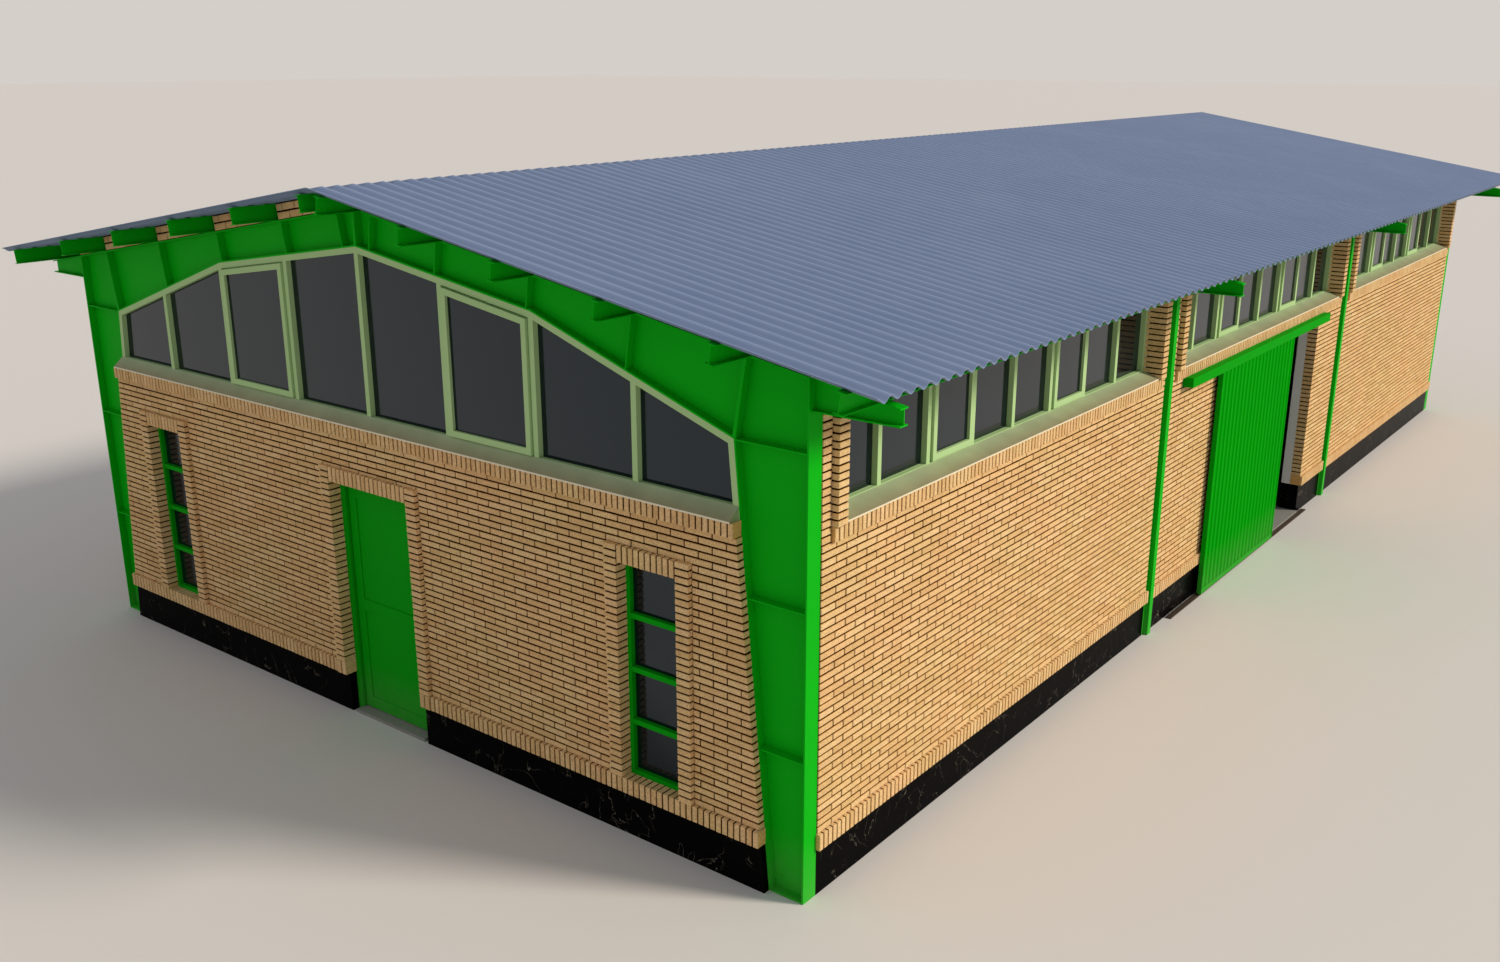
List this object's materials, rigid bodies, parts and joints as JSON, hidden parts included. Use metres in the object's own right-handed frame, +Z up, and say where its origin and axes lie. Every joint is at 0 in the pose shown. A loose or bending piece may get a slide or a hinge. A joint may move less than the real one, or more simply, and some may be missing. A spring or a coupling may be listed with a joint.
{
  "type": "factory building",
  "caption": "Low-pitched factory shed: green tapered steel portal frames, tan brick infill on a black stone plinth, ribbon windows, corrugated roof, hinged front door and sliding side gate.",
  "frame": {"origin": "ground level under the middle of the building", "axes": "+X towards the side with the sliding gate, +Y towards the plain rear gable, +Z up"},
  "size_m": [10.5266, 18.97, 4.7567],
  "materials": {
    "green_steel": "satin",
    "brick": "matte",
    "roof_sheet": "matte",
    "black_stone": "polished",
    "sill": "satin",
    "window_frame": "satin",
    "glass": "polished",
    "green_joinery": "satin",
    "green_gate": "satin",
    "guide_steel": "matte",
    "concrete": "matte"
  },
  "bodies": {
    "building": {"frame_1_columns": "green_steel", "frame_2_columns": "green_steel", "frame_3_columns": "green_steel", "frame_4_columns": "green_steel", "left_rafters": "green_steel", "right_rafters": "green_steel", "eave_brackets": "green_steel", "left_purlins": "green_steel", "right_purlins": "green_steel", "front_wall_left": "brick", "front_wall_over_door": "brick", "front_wall_right": "brick", "rear_wall": "brick", "left_wall_bay_1": "brick", "left_wall_bay_2": "brick", "left_wall_bay_3": "brick", "right_wall_bay_1": "brick", "right_wall_bay_3": "brick", "gate_wall_near": "brick", "gate_wall_far": "brick", "gate_lintel": "brick", "left_window_surrounds": "brick", "right_window_surrounds": "brick", "verge_brick_fill": "brick", "left_roof_sheet": "roof_sheet", "right_roof_sheet": "roof_sheet", "gable_plinths": "black_stone", "side_plinths": "black_stone", "gable_sills": "sill", "side_sills": "sill", "front_gable_window": "window_frame", "rear_gable_window": "window_frame", "left_windows": "window_frame", "right_windows": "window_frame", "gable_glass": "glass", "side_glass": "glass", "small_window_glass": "glass", "small_window_frames": "green_joinery", "door_frame": "green_joinery", "gate_track": "green_gate", "gate_floor_guide": "guide_steel", "floor_slab": "concrete"},
    "door": {"door_leaf": "green_joinery"},
    "gate": {"gate_leaf": "green_gate", "gate_hangers": "green_gate"}
  },
  "joints": [
    {"name": "door_swing", "type": "hinge", "parent": "building", "child": "door", "pos_m": [-0.4725, -8.968, 0.3], "axis": [0, 0, 1], "range_deg": [0, 95]},
    {"name": "gate_slide", "type": "slide", "parent": "building", "child": "gate", "axis": [0, 1, 0], "range_m": [-1.05, 1.3]}
  ]
}
